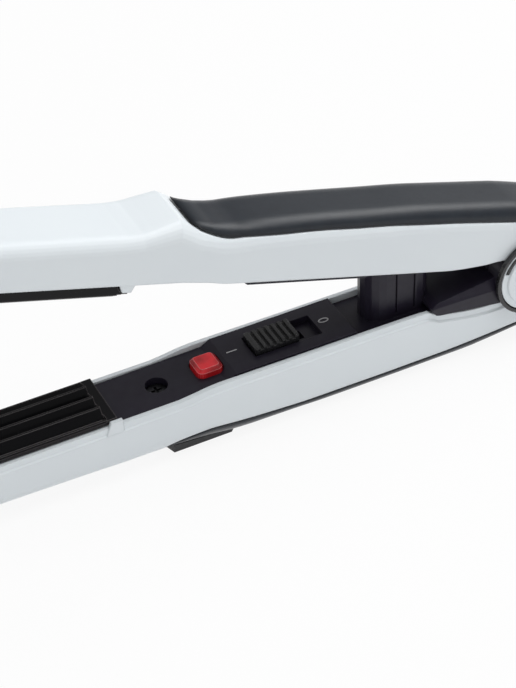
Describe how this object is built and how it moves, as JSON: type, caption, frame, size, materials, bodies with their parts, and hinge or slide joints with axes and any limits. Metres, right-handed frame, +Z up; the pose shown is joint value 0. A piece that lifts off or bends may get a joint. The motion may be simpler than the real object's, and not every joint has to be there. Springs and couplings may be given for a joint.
{
  "type": "hair crimper",
  "caption": "Handheld hair crimper with ridged plates on two hinged white arms, dark grips, a slide switch, a red indicator lens and a sprung column.",
  "frame": {"origin": "centre of the flat rest pad under the lower grip, on the surface the crimper lies on", "axes": "+X along the arms towards the hinge and cord outlet, +Y across the arms, +Z up from the lower arm to the upper arm"},
  "size_m": [0.1963, 0.0204, 0.0782],
  "materials": {
    "white_gloss": "glossy",
    "soft_touch_black": "satin",
    "black_plastic": "matte",
    "black_gloss": "glossy",
    "coated_plate": "glossy dark coating",
    "red_lens": "clear tinted",
    "steel": "satin",
    "brass": "satin",
    "ceramic": "matte",
    "board_green": "matte",
    "terminal_plastic": "matte",
    "lead_sleeve": "matte",
    "rubber": "matte"
  },
  "bodies": {
    "lower_arm": {"lower_shell": "white_gloss", "lower_grip": "soft_touch_black", "lower_inner_cover": "black_plastic", "lower_cover_screw": "steel", "lower_plate": "coated_plate", "lower_plate_holder": "black_plastic", "lower_heater": "ceramic", "lower_heater_clip": "steel", "rest_pad": "rubber", "led_lens": "red_lens", "indicator_lamp": "red_lens", "switch_body": "black_plastic", "circuit_board": "board_green", "thermal_fuse": "steel", "grip_lead_a": "lead_sleeve", "grip_lead_b": "lead_sleeve", "lower_heater_lead_a": "lead_sleeve", "lower_heater_lead_b": "lead_sleeve", "terminal_block": "terminal_plastic", "terminal_screw_a": "brass", "terminal_screw_b": "brass", "hinge_pin": "steel", "hinge_ring_near": "black_gloss", "hinge_ring_far": "black_gloss", "hinge_cap_near": "white_gloss", "hinge_cap_far": "white_gloss", "hinge_arc_near": "black_gloss", "hinge_arc_far": "black_gloss", "arm_spring": "steel"},
    "upper_arm": {"upper_shell": "white_gloss", "upper_grip": "soft_touch_black", "upper_inner_cover": "black_plastic", "upper_cover_screw": "steel", "upper_plate": "coated_plate", "upper_plate_holder": "black_plastic", "upper_heater": "ceramic", "upper_heater_clip": "steel", "upper_heater_lead_a": "lead_sleeve", "upper_heater_lead_b": "lead_sleeve", "upper_spring_post": "black_plastic"},
    "switch": {"switch_knob": "black_gloss"},
    "gland": {"cord_gland": "rubber"}
  },
  "joints": [
    {"name": "arm_hinge", "type": "hinge", "parent": "lower_arm", "child": "upper_arm", "pos_m": [0.07995, 0, 0.0173], "axis": [0, -1, 0], "range_deg": [0, 17.4], "stiffness_Nm_per_rad": 0.6, "springref_deg": -20.05, "deforming": ["arm_spring"]},
    {"name": "switch_slide", "type": "slide", "parent": "lower_arm", "child": "switch", "axis": [1, 0, 0], "range_m": [0, 0.005]},
    {"name": "gland_swivel", "type": "hinge", "parent": "lower_arm", "child": "gland", "pos_m": [0.09725, 0, 0.0093], "axis": [1, 0, 0], "continuous": true}
  ]
}
